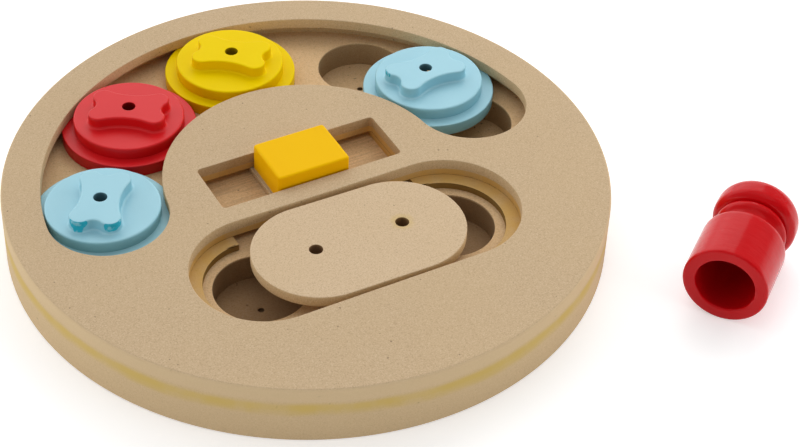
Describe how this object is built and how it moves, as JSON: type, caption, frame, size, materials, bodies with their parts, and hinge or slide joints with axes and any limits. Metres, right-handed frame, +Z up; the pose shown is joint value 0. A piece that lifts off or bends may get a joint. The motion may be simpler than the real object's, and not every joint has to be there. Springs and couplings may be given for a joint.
{
  "type": "dog puzzle feeder toy",
  "caption": "Round layered wooden board with sliding bone-topped discs, a slider block and a sliding lid over hidden treat wells, and a loose turned cup.",
  "frame": {"origin": "centre of the board's underside, on the floor", "axes": "+X along the slider's slot and the lid's bay, +Y from the lid towards the arc channel, +Z up"},
  "size_m": [0.3501, 0.314, 0.0413],
  "materials": {
    "raw_mdf": "raw sanded, fine speckle",
    "blue_paint": "satin paint",
    "red_paint": "satin paint",
    "yellow_paint": "satin paint",
    "block_paint": "satin paint",
    "dowel_wood": "raw",
    "cup_lacquer": "gloss lacquer"
  },
  "bodies": {
    "board": {"base_board": "raw_mdf", "lower_track_board": "raw_mdf", "upper_track_board": "raw_mdf", "top_board": "raw_mdf"},
    "slider": {"slider_block": "block_paint", "slider_guide_plate": "raw_mdf"},
    "lid": {"lid": "raw_mdf", "lid_spacer": "raw_mdf", "lid_guide_plate": "raw_mdf", "lid_dowel_left": "dowel_wood", "lid_dowel_right": "dowel_wood"},
    "cup": {"treat_cup": "cup_lacquer"},
    "left_blue_axle": {"left_blue_dowel": "dowel_wood"},
    "left_blue_disc": {"left_blue_flange": "blue_paint", "left_blue_disc": "blue_paint", "left_blue_bone": "blue_paint"},
    "red_axle": {"red_dowel": "dowel_wood"},
    "red_disc": {"red_flange": "red_paint", "red_disc": "red_paint", "red_bone": "red_paint"},
    "yellow_axle": {"yellow_dowel": "dowel_wood"},
    "yellow_disc": {"yellow_flange": "yellow_paint", "yellow_disc": "yellow_paint", "yellow_bone": "yellow_paint"},
    "right_blue_axle": {"right_blue_dowel": "dowel_wood"},
    "right_blue_disc": {"right_blue_flange": "blue_paint", "right_blue_disc": "blue_paint", "right_blue_bone": "blue_paint"}
  },
  "joints": [
    {"name": "left_blue_travel", "type": "hinge", "parent": "board", "child": "left_blue_axle", "pos_m": [0, 0, 0], "axis": [0, 0, 1], "range_deg": [-0.8, 4.5]},
    {"name": "left_blue_spin", "type": "hinge", "parent": "left_blue_axle", "child": "left_blue_disc", "pos_m": [-0.09852, 0.0213, 0], "axis": [0, 0, 1], "continuous": true},
    {"name": "red_travel", "type": "hinge", "parent": "board", "child": "red_axle", "pos_m": [0, 0, 0], "axis": [0, 0, 1], "range_deg": [0, 0.8]},
    {"name": "red_spin", "type": "hinge", "parent": "red_axle", "child": "red_disc", "pos_m": [-0.0609, 0.07995, 0], "axis": [0, 0, 1], "continuous": true},
    {"name": "yellow_travel", "type": "hinge", "parent": "board", "child": "yellow_axle", "pos_m": [0, 0, 0], "axis": [0, 0, 1], "range_deg": [-23, 0]},
    {"name": "yellow_spin", "type": "hinge", "parent": "yellow_axle", "child": "yellow_disc", "pos_m": [0.00439, 0.1003, 0], "axis": [0, 0, 1], "continuous": true},
    {"name": "right_blue_travel", "type": "hinge", "parent": "board", "child": "right_blue_axle", "pos_m": [0, 0, 0], "axis": [0, 0, 1], "range_deg": [-16.85, 23]},
    {"name": "right_blue_spin", "type": "hinge", "parent": "right_blue_axle", "child": "right_blue_disc", "pos_m": [0.09096, 0.04155, 0], "axis": [0, 0, 1], "continuous": true},
    {"name": "slider_slide", "type": "slide", "parent": "board", "child": "slider", "axis": [1, 0, 0], "range_m": [-0.0287, 0.0273]},
    {"name": "lid_slide", "type": "slide", "parent": "board", "child": "lid", "axis": [1, 0, 0], "range_m": [-0.0196, 0.0179]},
    {"name": "cup_lift", "type": "slide", "parent": "board", "child": "cup", "axis": [0, 0, 1], "range_m": [0, 0.12]}
  ]
}
